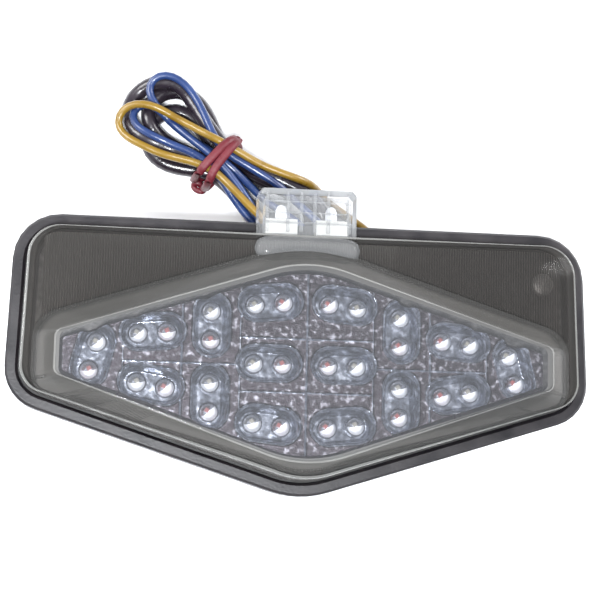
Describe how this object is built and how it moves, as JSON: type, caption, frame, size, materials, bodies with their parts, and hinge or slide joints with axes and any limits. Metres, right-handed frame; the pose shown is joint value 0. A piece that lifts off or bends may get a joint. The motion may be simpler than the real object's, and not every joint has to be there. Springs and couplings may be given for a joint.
{
  "type": "motorcycle tail light",
  "caption": "Clear-lens LED tail light with turn signals, a raised diamond window, a number-plate lamp tab and tied wiring, for a motorcycle.",
  "frame": {"origin": "On the surface that the lamp's mounting bosses rest on, under the middle of the lamp's own box, which leaves the free wiring out.", "axes": "+Z out through the lens, away from the motorcycle. +X along the lamp's width. +Y towards the number-plate window, on the side where the wiring leaves the housing."},
  "size_m": [0.1496, 0.1149, 0.04],
  "materials": {
    "housing_plastic": "glossy black injection-moulded plastic",
    "lens_plastic": "clear polished acrylic",
    "reflector_plating": "vacuum-metallised plastic",
    "circuit_board": "green solder resist",
    "red_led": "water-clear epoxy over a red chip",
    "amber_led": "water-clear epoxy over an amber chip",
    "white_led": "water-clear epoxy over a white chip",
    "white_plastic": "white moulded plastic",
    "zinc_steel": "zinc-plated steel",
    "brass": "turned brass",
    "black_rubber": "moulded black rubber",
    "lead_sleeve": "black vinyl sleeve",
    "blue_insulation": "blue vinyl insulation",
    "yellow_insulation": "yellow vinyl insulation",
    "red_rubber": "red rubber band",
    "connector_nylon": "natural nylon"
  },
  "bodies": {
    "root": {"black_lead": "lead_sleeve", "blue_bullet_terminal": "blue_insulation", "blue_wire": "blue_insulation", "board_screw_left": "zinc_steel", "board_screw_middle": "zinc_steel", "board_screw_right": "zinc_steel", "harness_hank": "lead_sleeve", "lead_connector": "connector_nylon", "led_01_red": "red_led", "led_02_amber": "amber_led", "led_03_red": "red_led", "led_04_amber": "amber_led", "led_05_red": "red_led", "led_06_amber": "amber_led", "led_07_red": "red_led", "led_08_amber": "amber_led", "led_09_red": "red_led", "led_10_amber": "amber_led", "led_11_red": "red_led", "led_12_amber": "amber_led", "led_13_red": "red_led", "led_14_amber": "amber_led", "led_15_red": "red_led", "led_16_amber": "amber_led", "led_17_red": "red_led", "led_18_amber": "amber_led", "led_19_red": "red_led", "led_20_amber": "amber_led", "led_21_red": "red_led", "led_22_amber": "amber_led", "led_23_red": "red_led", "led_24_amber": "amber_led", "led_25_red": "red_led", "led_26_amber": "amber_led", "led_27_red": "red_led", "led_28_amber": "amber_led", "led_29_red": "red_led", "led_30_amber": "amber_led", "led_31_red": "red_led", "led_32_amber": "amber_led", "led_board": "circuit_board", "lens_seal": "black_rubber", "mounting_insert_left": "brass", "mounting_insert_right": "brass", "outer_lens": "lens_plastic", "plate_lamp_holder_left": "white_plastic", "plate_lamp_holder_right": "white_plastic", "plate_led_left": "white_led", "plate_led_right": "white_led", "rear_housing": "housing_plastic", "reflector": "reflector_plating", "reflector_screw_left": "zinc_steel", "reflector_screw_right": "zinc_steel", "rubber_band": "red_rubber", "wire_grommet": "black_rubber", "yellow_bullet_terminal": "yellow_insulation", "yellow_wire": "yellow_insulation"}
  },
  "joints": []
}
